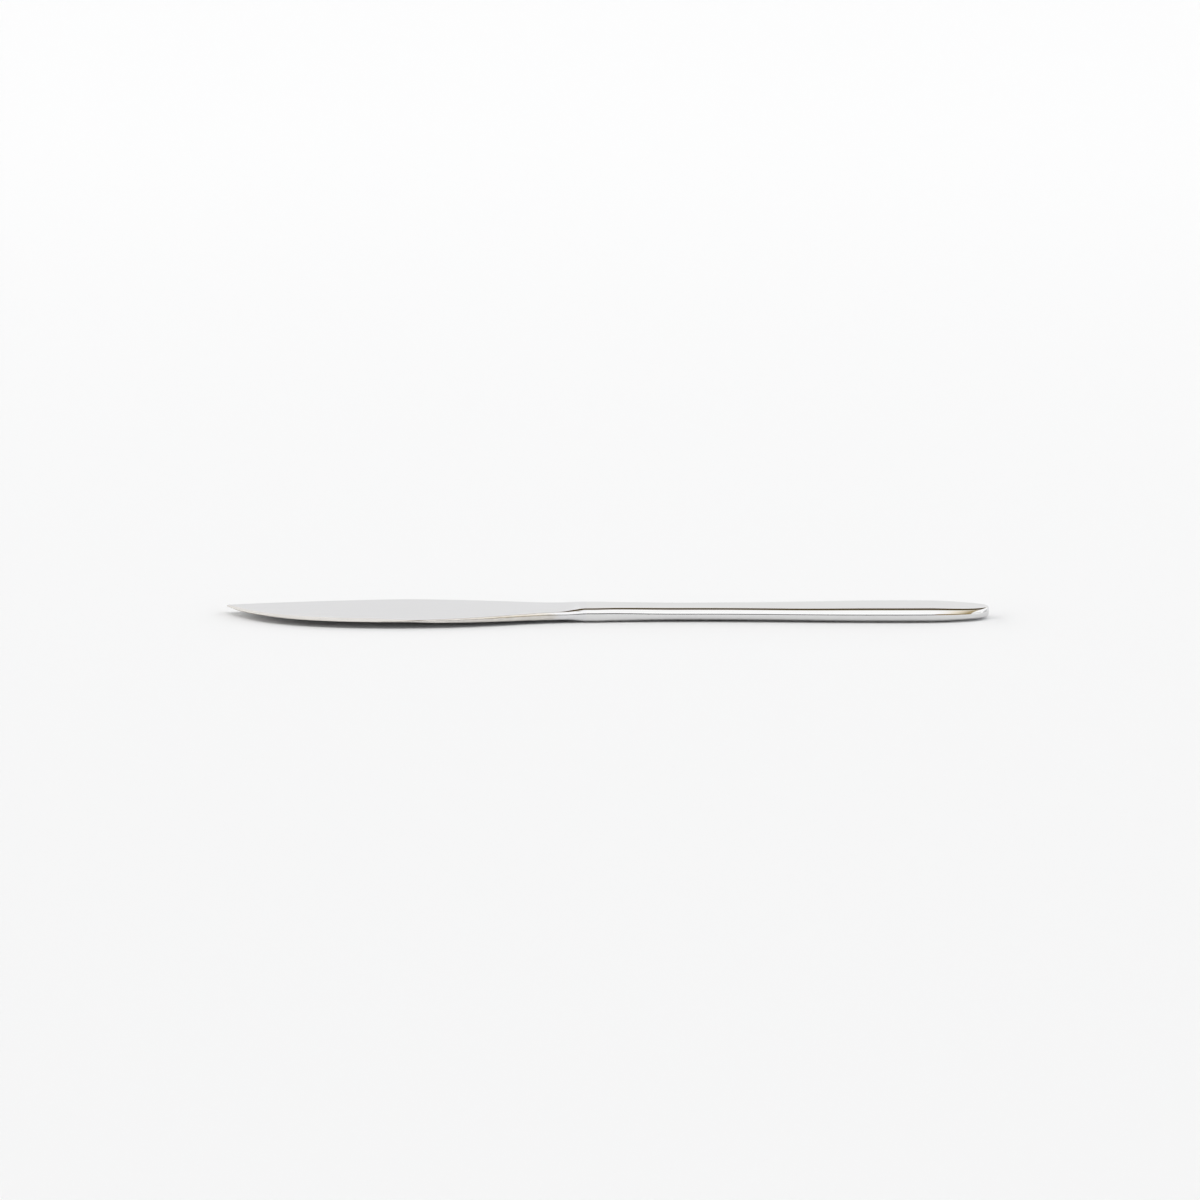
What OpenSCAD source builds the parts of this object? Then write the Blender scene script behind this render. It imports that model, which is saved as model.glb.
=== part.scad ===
// Table knife with a hollow handle, lying on its side.
// X runs from the blade's tip to the butt, Y points to the spine and Z up from the table.
// All sizes are in millimetres. Outlines are worked out from the joint of blade and handle,
// and the whole knife is then moved to the middle of its box.

/* [Blade] */
// Length from the tip to the joint with the handle
blade_len = 109; // [95:1:125]
// Distance from the tip to the deepest part of the blade
belly_from_tip = 53; // [45:1:58]
// Height of the spine above the knife's axis, where it is highest
spine_rise = 11.2; // [9:0.1:13]
// Depth of the cutting edge below the axis, where it is lowest
edge_drop = 10.5; // [9:0.1:13]
// Height of the tip above the axis
tip_rise = 7; // [4:0.1:8]
// Width of the blunt tip
tip_flat = 0.5; // [0.3:0.1:1]
// Length over which the tip rounds off in thickness
tip_round = 1.5; // [0.8:0.1:3]
// Thickness of the spine at the tip
tip_t = 0.65; // [0.6:0.05:1]
// Thickness of the spine at the heel
heel_t = 2.4; // [1.8:0.1:2.8]
// Thickness of the blunt cutting edge
edge_t = 0.2; // [0.1:0.05:0.4]
// Width of the bevel ground along the edge
bevel_w = 2.5; // [1.5:0.1:4]
// Thickness of the blade where the bevel begins
bevel_t = 0.5; // [0.3:0.05:0.6]
// Rounding of the spine's corners
spine_round = 0.25; // [0.1:0.05:0.3]
// Length over which the edge grows thicker, before the shoulder
runout_len = 46; // [36:1:50]
// Length over which the bevel steepens into a round side, before and after the run-out begins
bevel_fade = 10; // [6:0.5:14]
// Turn of the run-out's side from its middle to the face, in degrees: 90 would leave no corner there
heel_turn = 50; // [42:1:80]
// Length of the shoulder that swells from the edge to the handle
shoulder_len = 10; // [6:0.5:14]
// Length of the shoulder that swells from the spine to the handle
spine_shoulder_len = 16; // [12:0.5:24]
// Length of the level stretch between the shoulder and the joint
shoulder_land = 1.5; // [1:0.1:3]

/* [Handle] */
// Length from the joint with the blade to the butt
handle_len = 121; // [105:1:135]
// Width at the joint
neck_w = 9.9; // [9.4:0.1:12]
// Width at the waist
waist_w = 8.8; // [7.6:0.1:9.2]
// Distance from the joint to the waist
waist_at = 28; // [20:1:36]
// Width at the widest place, near the butt
butt_w = 11.9; // [10.4:0.1:13]
// Length of the rounded end behind the widest place
butt_round_len = 25; // [20:1:32]
// Length of the level stretch before the rounded end, on which the handle rests
butt_land = 8; // [5:0.5:12]
// Thickness at the joint and at the level stretch
handle_t = 4.4; // [4:0.1:4.8]
// Thickness at the waist
waist_t = 4; // [3.6:0.1:4.2]
// Thickness at the butt's end, before its corners round off
end_t = 3.3; // [3:0.1:3.8]
// Length over which the handle thins towards the butt's end
end_taper = 20; // [14:1:24]
// Length of the flat land behind the joint
neck_land = 5; // [3:0.5:10]
// Length over which the corners of the butt's end round off
end_round = 0.6; // [0.4:0.1:2]

/* [Inside the handle] */
// Wall of the pressed half shells
shell_wall = 0.7; // [0.5:0.05:0.8]
// Solid metal at the butt, behind the cavity
butt_solid = 8; // [5:0.5:12]
// Length of the tang behind the joint
tang_len = 75; // [50:1:88]
// Width of the tang at the joint
tang_w = 5; // [4:0.1:5.6]
// Width of the tang at its end
tang_end_w = 4; // [3:0.1:4.6]
// Thickness of the tang
tang_t = 1.4; // [1:0.1:1.6]
// Play between the bedding and the metal round it
bed_gap = 0.05; // [0.02:0.01:0.1]
// Thickness of the solder between the shoulder and the shells
solder_t = 0.15; // [0.1:0.05:0.3]
// Thickness of the filler in the seam between the shells
seam_t = 0.1; // [0.05:0.01:0.15]

/* [Hidden] */
// Steps round one rounded side of a section, and along each stretch of the knife
cap_steps = 6;
fore_steps = 18;
aft_steps = 24;
grip_steps = 24;
round_steps = 6;
end_steps = 8;
// Roundness of a side: 2 is a circle, 1 would be a straight bevel, and more has a flatter side
circle_power = 2;
bevel_power = 1.3;
neck_power = 2.5;
// Turn of a side that meets the flat face without a corner, in degrees
quarter = 90;
// Fullness of the butt's outline: 2 is an ellipse, and more is fuller
butt_power = 2.6;
// Share of the butt's full curve at which it is cut off square
butt_cut = 0.997;
// Pull of each outline curve on its control points, as shares of the stretch that it spans
spine_tip_pull = 0.2;
spine_tip_lift = 0.46;
spine_peak_pull = 0.31;
edge_tip_pull = 0.08;
edge_tip_fall = 0.4;
edge_belly_pull = 0.72;
spine_aft_pull = [0.34, 0.04];
edge_aft_pull = [0.53, 0.38];
neck_pull = [0.27, 0.95];
grip_pull = [0.42, 0.42];
// Greatest share of a narrow section that one rounded side may take
cap_share = 0.48;
// Share of the thickness that is left at the blunt tip and at the butt's end
tip_share = 0.4;
end_share = 0.7;
// Share of the grip, behind the waist, that stays as thin as the waist
even_share = 0.53;
// Growth of the shoulder: 1 would be straight, and more begins softly and ends in a crisp corner
swell_power = 2;

belly_x = belly_from_tip - blade_len;
butt_x = handle_len - butt_round_len;
land_x = butt_x - butt_land;
taper_x = max(butt_x, handle_len - end_taper);
even_x = mix(waist_at, land_x, even_share);
runout_x = -shoulder_len - runout_len;
cavity_end = handle_len - butt_solid;
butt_axis = butt_round_len / butt_cut;
knife_shift = [(blade_len - handle_len) / 2, (edge_drop - spine_rise) / 2, handle_t / 2];

// Blending of two values, and a smooth step from 0 to 1 between two places
function mix(a, b, s) = a + (b - a) * s;
function share(x, x0, x1) = min(1, max(0, (x - x0) / (x1 - x0)));
function ease(x, x0, x1) = let (s = share(x, x0, x1)) s * s * (3 - 2 * s);
// Rise of a rounded end, from part of the height to all of it over a length
function round_off(x, len, least) = mix(least, 1, sqrt(1 - pow(1 - share(x, 0, len), 2)));

// Cubic curve through four control points, and its height at a place along X
function bezier(p, t) =
    pow(1 - t, 3) * p[0] + 3 * pow(1 - t, 2) * t * p[1] + 3 * (1 - t) * t * t * p[2] + pow(t, 3) * p[3];
function bezier_t(p, x, lo = 0, hi = 1, tries = 32) =
    tries == 0 ? (lo + hi) / 2
    : let (mid = (lo + hi) / 2)
      bezier(p, mid)[0] < x ? bezier_t(p, x, mid, hi, tries - 1) : bezier_t(p, x, lo, mid, tries - 1);
function curve_y(p, x) = bezier(p, bezier_t(p, x))[1];
// Curve that leaves its first point level and reaches its last point level
function level_curve(a, b, pull) =
    [a, [mix(a[0], b[0], pull[0]), a[1]], [mix(b[0], a[0], pull[1]), b[1]], b];

// Outline of the blade: each side has a curve before the belly and one behind it
spine_fore = [
    [-blade_len, tip_rise + tip_flat / 2],
    [mix(-blade_len, belly_x, spine_tip_pull), mix(tip_rise, spine_rise, spine_tip_lift)],
    [mix(belly_x, -blade_len, spine_peak_pull), spine_rise],
    [belly_x, spine_rise]
];
edge_fore = [
    [-blade_len, tip_rise - tip_flat / 2],
    [mix(-blade_len, belly_x, edge_tip_pull), mix(tip_rise, -edge_drop, edge_tip_fall)],
    [mix(belly_x, -blade_len, edge_belly_pull), -edge_drop],
    [belly_x, -edge_drop]
];
spine_aft = level_curve([belly_x, spine_rise], [0, neck_w / 2], spine_aft_pull);
edge_aft = level_curve([belly_x, -edge_drop], [0, -neck_w / 2], edge_aft_pull);
function spine_y(x) = curve_y(x < belly_x ? spine_fore : spine_aft, x);
function edge_y(x) = curve_y(x < belly_x ? edge_fore : edge_aft, x);

// Outline of the handle: half its width, and half its thickness before the butt rounds off
neck_curve = level_curve([0, neck_w / 2], [waist_at, waist_w / 2], neck_pull);
grip_curve = level_curve([waist_at, waist_w / 2], [butt_x, butt_w / 2], grip_pull);
function butt_half_w(x) = butt_w / 2 * pow(1 - pow((x - butt_x) / butt_axis, butt_power), 1 / butt_power);
function half_w(x) =
    x < waist_at ? curve_y(neck_curve, x) : x < butt_x ? curve_y(grip_curve, x) : butt_half_w(x);
function waisting(x) = ease(x, neck_land, waist_at) * (1 - ease(x, even_x, land_x));
function full_half_t(x) =
    mix(mix(handle_t, waist_t, waisting(x)), end_t, ease(x, taper_x, handle_len)) / 2;
function half_t(x) = full_half_t(x) * round_off(handle_len - x, end_round, end_share);

// Places along X of the sections, closer together at the tip, the shoulder and the butt
blade_places = [
    for (i = [0:fore_steps - 1]) -blade_len + belly_from_tip * (1 - cos(90 * i / fore_steps)),
    for (i = [0:aft_steps]) belly_x * (1 - sin(90 * i / aft_steps))
];
cavity_places = [
    for (i = [0:grip_steps - 1]) mix(solder_t, butt_x, i / grip_steps),
    for (i = [0:round_steps]) mix(butt_x, cavity_end, i / round_steps)
];
end_places = [for (i = [1:end_steps]) mix(cavity_end, handle_len, sin(90 * i / end_steps))];
shell_places = concat(cavity_places, end_places);

// How far in and how far up a rounded side has come, after it has turned by an angle
function turned_in(a, power) = 1 - pow(cos(a), 2 / power);
function turned_up(a, power) = pow(sin(a), 2 / power);
// One rounded side of a section, from its outermost point to where the flat face begins
function cap(y, depth, z0, z1, power, turn = quarter) = [
    for (i = [0:cap_steps])
        let (
            a = turn * i / cap_steps,
            inward = turned_in(a, power) / turned_in(turn, power),
            upward = turned_up(a, power) / turned_up(turn, power)
        )
        [y + depth * inward, mix(z0, z1, upward)]
];
function reversed(list) = [for (i = [len(list) - 1:-1:0]) list[i]];
// Upper half of a section, from the edge side to the spine side
function half_ring(edge_cap, spine_cap) = concat(edge_cap, reversed(spine_cap));
function ring(upper) = concat(upper, [for (q = reversed(upper)) [q[0], -q[1]]]);
function at_x(x, points) = [for (q = points) [x, q[0], q[1]]];
// Roundness of the handle's sides, which are flatter at the neck than at the grip
function side_power(x) = mix(neck_power, circle_power, ease(x, 0, waist_at));

// Growth of the shoulder from 0 at its start to 1 at its end
function swelling(x, length) = pow(share(x, -length, -shoulder_land), swell_power);

// Blade section: a bevel at the edge that turns into a blunt side with a crisp corner at the face,
// and small corners at the spine. At the shoulder both turn into the handle's round sides.
function blade_half(x) =
    let (
        run = share(x, runout_x, -shoulder_len),
        spine_run = share(x, runout_x, -spine_shoulder_len),
        blunt = ease(x, runout_x - bevel_fade, runout_x + bevel_fade),
        swell = swelling(x, shoulder_len),
        spine_swell = swelling(x, spine_shoulder_len),
        tip = round_off(x + blade_len, tip_round, tip_share),
        spine_t = mix(tip_t, heel_t, share(x, -blade_len, -spine_shoulder_len)),
        room = cap_share * (spine_y(x) - edge_y(x)),
        blunt_h = mix(bevel_t, heel_t, run) / 2,
        blunt_d = blunt_h * turned_in(heel_turn, neck_power) / turned_up(heel_turn, neck_power),
        edge_h = mix(blunt_h, handle_t / 2, swell),
        spine_h = mix(spine_t, handle_t, spine_swell) / 2,
        edge_d = min(room, mix(mix(bevel_w, blunt_d, blunt), handle_t / 2, swell)),
        spine_d = min(room, mix(mix(spine_round, heel_t / 2, spine_run), handle_t / 2, spine_swell)),
        edge_z = mix(edge_t, seam_t, blunt) / 2,
        spine_z = mix(max(spine_h - spine_d, seam_t / 2), seam_t / 2, spine_swell),
        edge_power = mix(bevel_power, neck_power, blunt),
        edge_turn = mix(mix(quarter, heel_turn, blunt), quarter, swell),
        spine_power = mix(circle_power, neck_power, spine_swell)
    )
    half_ring(
        cap(edge_y(x), edge_d, edge_z * tip, edge_h * tip, edge_power, edge_turn),
        cap(spine_y(x), -spine_d, spine_z * tip, spine_h * tip, spine_power)
    );

// Handle section, set in from the outside by some depth: round sides and flat faces
function grip_half(x, inset, z0) =
    let (
        w = half_w(x) - inset,
        h = half_t(x) - inset,
        d = min(full_half_t(x), 2 * cap_share * half_w(x)) - inset
    )
    half_ring(cap(-w, d, z0, h, side_power(x)), cap(w, -d, z0, h, side_power(x)));

// Tang section: a flat bar with round sides, grown by some play
function tang_half(x, play) =
    let (
        w = mix(tang_w, tang_end_w, share(x, 0, tang_len)) / 2 + play,
        h = tang_t / 2 + play
    )
    half_ring(cap(-w, h, seam_t / 2, h, circle_power), cap(w, -h, seam_t / 2, h, circle_power));

// Triangles between two rows of points, which may close round
function strip(a, b, count, closed) = [
    for (i = [0:closed ? count - 1 : count - 2])
        let (j = (i + 1) % count)
        each [[a + i, a + j, b + j], [a + i, b + j, b + i]]
];
function fan(a, count) = [for (i = [1:count - 2]) [a, a + i + 1, a + i]];
function turned(faces) = [for (f = faces) [f[0], f[2], f[1]]];

// Solid through a row of rings with a closed end at each side
module loft(rings) {
    count = len(rings[0]);
    last = count * (len(rings) - 1);
    sides = [for (k = [0:len(rings) - 2]) each strip(k * count, (k + 1) * count, count, true)];
    points = [for (r = rings) each r];
    polyhedron(points, concat(sides, fan(0, count), turned(fan(last, count))));
}

// Solid through rings that come round to the first one again
module loft_round(rings) {
    count = len(rings[0]);
    sides = [
        for (k = [0:len(rings) - 1])
            each strip(k * count, (k + 1) % len(rings) * count, count, true)
    ];
    points = [for (r = rings) each r];
    polyhedron(points, sides);
}

// Upper half of the hollow handle: an outer skin, a cavity open at the joint and the seam's flat face
module half_shell() {
    count = 2 * (cap_steps + 1);
    seam_z = seam_t / 2;
    outer = [for (x = shell_places) at_x(x, grip_half(x, 0, seam_z))];
    inner = [for (x = cavity_places) at_x(x, grip_half(x, shell_wall, seam_z))];
    base = count * len(outer);
    last = len(outer) - 1;
    deep = len(inner) - 1;
    points = concat([for (r = outer) each r], [for (r = inner) each r]);
    outer_skin = [for (k = [0:last - 1]) each strip(k * count, (k + 1) * count, count, false)];
    inner_skin = [
        for (k = [0:deep - 1])
            each turned(strip(base + k * count, base + (k + 1) * count, count, false))
    ];
    mouth = strip(base, 0, count, false);
    floor_end = fan(base + deep * count, count);
    butt_end = turned(fan(last * count, count));
    seam_rims = [
        for (k = [0:deep - 1])
            let (o = k * count, i = base + o)
            each [
                [o, o + count, i + count],
                [o, i + count, i],
                [o + count - 1, i + 2 * count - 1, o + 2 * count - 1],
                [o + count - 1, i + count - 1, i + 2 * count - 1]
            ]
    ];
    wall_row = deep * count;
    cavity_row = base + wall_row;
    behind = wall_row + count;
    row = [wall_row, cavity_row, cavity_row + count - 1, wall_row + count - 1];
    seam_step = [
        for (k = [0:len(row) - 2]) [behind, row[k + 1], row[k]],
        [behind, behind + count - 1, row[len(row) - 1]]
    ];
    seam_end = [
        for (k = [deep + 1:last - 1])
            let (a = k * count, b = a + count)
            each [[a, b, b + count - 1], [a, b + count - 1, b - 1]]
    ];
    polyhedron(
        points,
        concat(outer_skin, inner_skin, mouth, floor_end, butt_end, seam_rims, seam_step, seam_end)
    );
}

module blade() {
    color("gainsboro")
        translate(knife_shift)
            loft(concat(
                [for (x = blade_places) at_x(x, ring(blade_half(x)))],
                [for (x = [0, tang_len]) at_x(x, ring(tang_half(x, 0)))]
            ));
}

module upper_shell() {
    color("silver")
        translate(knife_shift)
            half_shell();
}

module lower_shell() {
    color("lightgray")
        translate(knife_shift)
            mirror([0, 0, 1])
                half_shell();
}

module seam_braze() {
    left = [for (x = shell_places) [x, -half_w(x)]];
    right = [for (x = reversed(shell_places)) [x, half_w(x)]];
    cavity_right = [for (x = cavity_places) [x, half_w(x) - shell_wall]];
    cavity_left = [for (x = reversed(cavity_places)) [x, shell_wall - half_w(x)]];
    color("darkgray")
        translate(knife_shift - [0, 0, seam_t / 2])
            linear_extrude(seam_t)
                polygon(concat(left, right, cavity_right, cavity_left));
}

module neck_solder() {
    outer = ring(grip_half(0, 0, seam_t / 2));
    inner = ring(grip_half(0, shell_wall, seam_t / 2));
    color("gray")
        translate(knife_shift)
            loft_round([at_x(0, outer), at_x(solder_t, outer), at_x(solder_t, inner), at_x(0, inner)]);
}

module tang_bedding() {
    bed_end = cavity_end - bed_gap;
    pocket_end = tang_len + bed_gap;
    pocket = [for (x = [pocket_end, solder_t]) at_x(x, ring(tang_half(x, bed_gap)))];
    body = [
        for (x = cavity_places)
            let (place = min(x, bed_end))
            at_x(place, ring(grip_half(place, shell_wall + bed_gap, seam_t / 2)))
    ];
    color("burlywood")
        translate(knife_shift)
            loft(concat(pocket, body));
}

blade();
upper_shell();
lower_shell();
seam_braze();
neck_solder();
tang_bedding();
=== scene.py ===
"""Table knife with a hollow handle, lying on a pale table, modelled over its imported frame."""

import math
from functools import lru_cache

import bmesh
import bpy
from bpy.props import FloatProperty, FloatVectorProperty, PointerProperty
from mathutils import Euler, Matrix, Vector


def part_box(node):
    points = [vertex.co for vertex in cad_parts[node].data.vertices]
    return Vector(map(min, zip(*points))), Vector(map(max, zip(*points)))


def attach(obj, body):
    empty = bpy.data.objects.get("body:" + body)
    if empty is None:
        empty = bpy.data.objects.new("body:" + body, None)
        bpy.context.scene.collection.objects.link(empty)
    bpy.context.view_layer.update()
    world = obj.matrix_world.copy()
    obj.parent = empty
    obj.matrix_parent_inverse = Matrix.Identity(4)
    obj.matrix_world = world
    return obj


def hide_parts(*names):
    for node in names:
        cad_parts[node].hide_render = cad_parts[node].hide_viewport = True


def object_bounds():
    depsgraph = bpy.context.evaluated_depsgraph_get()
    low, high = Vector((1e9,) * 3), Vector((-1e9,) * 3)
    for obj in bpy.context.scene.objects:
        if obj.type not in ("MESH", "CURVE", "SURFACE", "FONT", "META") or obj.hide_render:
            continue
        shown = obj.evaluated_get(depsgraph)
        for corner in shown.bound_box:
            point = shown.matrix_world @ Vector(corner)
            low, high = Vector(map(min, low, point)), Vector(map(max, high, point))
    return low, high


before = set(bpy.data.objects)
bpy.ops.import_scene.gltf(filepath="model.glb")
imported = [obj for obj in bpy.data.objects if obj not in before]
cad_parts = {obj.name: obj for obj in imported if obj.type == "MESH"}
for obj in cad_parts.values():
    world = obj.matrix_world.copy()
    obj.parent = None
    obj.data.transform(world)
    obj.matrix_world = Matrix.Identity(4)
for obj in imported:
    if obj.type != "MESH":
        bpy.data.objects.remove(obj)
CAD_BOX = [list(corner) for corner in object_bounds()]

bl_info = {
    "name": "Table Knife",
    "version": (1, 0, 0),
    "blender": (4, 5, 0),
    "location": "View3D > Sidebar > Table Knife",
    "description": "Models a polished table knife and sets it on a pale table",
    "category": "Add Mesh",
}

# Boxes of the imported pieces, which give the driving sizes
BLADE_LOW, BLADE_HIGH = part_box("blade")
SHELL_LOW, SHELL_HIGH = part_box("upper_shell")
SOLDER_LOW, SOLDER_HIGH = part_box("neck_solder")
SEAM_LOW, SEAM_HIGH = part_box("seam_braze")

# Outlines and sections are worked out from the joint of blade and handle, on the knife's axis
JOINT = Vector((SOLDER_LOW.x, (SOLDER_LOW.y + SOLDER_HIGH.y) / 2, (SEAM_LOW.z + SEAM_HIGH.z) / 2))

# Pull of each outline curve on its control points, as shares of the stretch that it spans
SPINE_TIP_PULL = 0.2
SPINE_TIP_LIFT = 0.46
SPINE_PEAK_PULL = 0.31
EDGE_TIP_PULL = 0.08
EDGE_TIP_FALL = 0.4
EDGE_BELLY_PULL = 0.72
SPINE_AFT_PULL = (0.34, 0.04)
EDGE_AFT_PULL = (0.53, 0.38)
NECK_PULL = (0.27, 0.95)
GRIP_PULL = (0.42, 0.42)

# Roundness of a side: 2 is a circle, 1 would be a straight bevel, and more has a flatter side
CIRCLE_POWER = 2
BEVEL_POWER = 1.3
NECK_POWER = 2.5
# Fullness of the butt's outline, and the share of its curve at which it is cut off square
BUTT_POWER = 2.6
BUTT_CUT = 0.997
# Share of the cutting edge's thickness that the honing leaves at its rim, and the share of the honed
# length, from the tip, that has its whole width
RIM_SHARE = 0.1
HONED_SHARE = 1 / 3
# Greatest share of a narrow section that one rounded side may take
CAP_SHARE = 0.48
# Share of the thickness that is left at the blunt tip and at the butt's end
TIP_SHARE = 0.4
END_SHARE = 0.7
# Share of the grip, behind the waist, that stays as thin as the waist
EVEN_SHARE = 0.53
# Growth of the shoulder: 1 would be straight, and more begins softly and ends in a crisp corner
SWELL_POWER = 2
# Half the length over which the shoulder's end is softened, and the steps taken over it
SWELL_SOFT = 0.0012
SWELL_STEPS = 12
# Upward share of a face's normal at which the satin begins, and at which it is full
FLAT_START = math.cos(math.radians(14))
FLAT_FULL = math.cos(math.radians(5))
# Share of the bevel's width over which its grind fades into the polished face, beyond the bevel
GRIND_FADE = 0.1

# A side that makes this whole turn meets the flat face without a corner
QUARTER = math.pi / 2

# Steps round a rounded side and across a flat face, and stations along each stretch
CAP_STEPS = 20
FLAT_STEPS = 10
FORE_STATIONS = 64
AFT_STATIONS = 110
GRIP_STATIONS = 130
BUTT_STATIONS = 64
CORE_STATIONS = 48
# A first small step at the seam keeps the shine unbroken from one half to the other
SEAM_STEP = 0.01
CAP_TURNS = [0, SEAM_STEP] + [i / CAP_STEPS for i in range(1, CAP_STEPS + 1)]
FLAT_SHARES = [(1 - math.cos(math.pi * i / FLAT_STEPS)) / 2 for i in range(1, FLAT_STEPS)]
# Corners sharper than this keep their edge
SMOOTH_ANGLE = math.radians(40)
# Halvings that find a place on a curve
CURVE_TRIES = 48
# Reach of the cavity's core past the mouth of the shells
CORE_REACH = 0.002
# Points that lie closer together than this are merged
MERGE_DISTANCE = 1e-8

# Width and depth of the polishing lines: on the blade, and on the handle and its fillers
BLADE_LINES = (0.00012, 4e-7)
HANDLE_LINES = (0.0001, 1.5e-7)
LINE_LENGTH = 0.03
# Shares of the steel's colour in and between the polishing lines
LINE_DULL = 0.93
LINE_BRIGHT = 1.04
# Shares of the polish's roughness: the bare polish, and what smudges and lines add to it
BARE_SHARE = 0.8
SMUDGE_SHARE = 0.6
LINE_SHARE = 0.4
# Shares of the satin's roughness: the bare satin, and what lines add to it
SATIN_BARE = 0.85
SATIN_LINES = 0.3
# What a scratch adds to the roughness, and its depth as a share of a line's
SCRATCH_ROUGHNESS = 0.12
SCRATCH_DEPTH = 0.6
# Closeness of the scratches along and across their run
SCRATCH_SCALE = (45.0, 4200.0, 4200.0)
# Levels of the noise between which smudges and scratches come out
SMUDGE_LEVELS = (0.4, 0.75)
SCRATCH_LEVELS = (0.74, 0.8)
# Streaks of the grind: their size, the darkest share of its colour, and the range of its roughness
STREAK_LENGTH = 0.006
STREAK_WIDTH = 0.0003
STREAK_DARK = 0.84
STREAK_ROUGH = (0.8, 1.2)
STREAK_TINT_LEVELS = (0.35, 0.65)
STREAK_ROUGH_LEVELS = (0.3, 0.7)
# Cement: the darkest share of its colour, its roughness, its grain and its pores
CEMENT_DARK = 0.7
CEMENT_ROUGH = (0.8, 0.95)
GRAIN_SCALE = 900.0
GRAIN_LEVELS = (0.3, 0.7)
PORE_SCALE = 1400.0
PORE_DEPTH = 0.0002
PORE_STRENGTH = 0.6

# The room is told by three angles in degrees: elevation above the table, arc from the front over the
# top to the back, and aside to the right. Each soft limit below is where it starts and where it ends.
FOOT_TOP = (10.5, 12.5)
FOOT_STEP = (11.0, 13.0)
FOOT_RISE = 6.0
OVERHEAD_ARC = (54.0, 60.0)
SCREEN_LEFT = (33.5, 35.0)
SCREEN_RIGHT = (52.0, 56.0)
SCREEN_FOOT = (9.0, 11.0)
SCREEN_TOP = (20.0, 23.0)
CEILING_LEFT = (-64.0, -56.0)
CEILING_RIGHT = (33.5, 35.0)
CEILING_ARC = (82.0, 84.0)
BEAM_ARC = (90.0, 92.0)
BACKDROP_ARC = (129.0, 131.0)
BACKDROP_FADE = (14.0, 44.0)
# Low light on the table from the two sides
LOW_FOOT = (1.0, 5.0)
LOW_TOP = (28.0, 36.0)
LOW_LEFT = (-50.0, -40.0)
LOW_RIGHT = (40.0, 50.0)
# Places in front of and behind the knife between which the table grows lighter
TABLE_FADE = (-0.7, 1.3)
# Shares of half the knife's length between which the painted shade under the knife fades out and the
# table's own light comes back in full
SHADE_FADE = (0.8, 0.97)


def length(name, text, default):
    """A size in metres that a user may change."""
    return FloatProperty(name=name, description=text, default=default, min=0, precision=5, unit="LENGTH")


def colour(name, text, default):
    """A colour that a user may change."""
    return FloatVectorProperty(
        name=name, description=text, default=default, min=0, soft_max=1, subtype="COLOR"
    )


def factor(name, text, default):
    """A share from 0 to 1 that a user may change."""
    return FloatProperty(name=name, description=text, default=default, min=0, max=1, subtype="FACTOR")


def angle(name, text, degrees):
    """An angle that a user may change, written in degrees."""
    return FloatProperty(
        name=name, description=text, default=math.radians(degrees), subtype="ANGLE", unit="ROTATION"
    )


class BladeSizes(bpy.types.PropertyGroup):
    """Sizes of the blade, its shoulder and its tang"""

    length: length("Length", "From the tip to the joint with the handle", JOINT.x - BLADE_LOW.x)
    belly_from_tip: length("Belly from tip", "From the tip to the deepest part of the blade", 0.053)
    spine_rise: length("Spine rise", "Height of the spine above the axis", BLADE_HIGH.y - JOINT.y)
    edge_drop: length("Edge drop", "Depth of the cutting edge below the axis", JOINT.y - BLADE_LOW.y)
    tip_rise: length("Tip rise", "Height of the tip above the axis", 0.007)
    tip_flat: length("Tip flat", "Width of the blunt tip", 0.0005)
    tip_round: length("Tip round", "Length over which the tip rounds off in thickness", 0.0015)
    tip_thickness: length("Tip thickness", "Thickness of the spine at the tip", 0.00065)
    heel_thickness: length("Heel thickness", "Thickness of the spine at the heel", 0.0024)
    edge_thickness: length("Edge thickness", "Thickness of the blunt cutting edge", 0.0002)
    honed_width: length("Honed width", "Width of the narrow bevel honed at the tip's edge", 0.0002)
    honed_length: length("Honed length", "From the tip to the end of the honed bevel", 0.026)
    bevel_width: length("Bevel width", "Width of the bevel ground along the edge", 0.0025)
    bevel_thickness: length("Bevel thickness", "Thickness where the bevel begins", 0.0005)
    spine_round: length("Spine round", "Rounding of the spine's corners", 0.00025)
    runout: length("Run-out", "Length over which the edge grows thicker", 0.046)
    bevel_fade: length("Bevel fade", "Length over which the bevel steepens into a round side", 0.010)
    heel_turn: angle("Heel turn", "Turn of the run-out's side from its middle to the face", 50)
    shoulder: length("Shoulder", "Length that swells from the edge to the handle", 0.010)
    spine_shoulder: length("Spine shoulder", "Length that swells from the spine to the handle", 0.016)
    shoulder_land: length("Shoulder land", "Level stretch between the shoulder and the joint", 0.0015)
    grind_end: length("Grind end", "From the joint to the end of the grind at the face", 0.0105)
    grind_side_end: length("Grind side end", "From the joint to the end of the grind at mid-side", 0.0075)
    grind_fade: length("Grind fade", "Length over which the polish replaces the grind", 0.003)
    tang_length: length("Tang length", "Length of the tang in the handle", BLADE_HIGH.x - JOINT.x)
    tang_width: length("Tang width", "Width of the tang at the joint", 0.005)
    tang_end_width: length("Tang end width", "Width of the tang at its end", 0.004)
    tang_thickness: length("Tang thickness", "Thickness of the tang", 0.0014)


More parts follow.
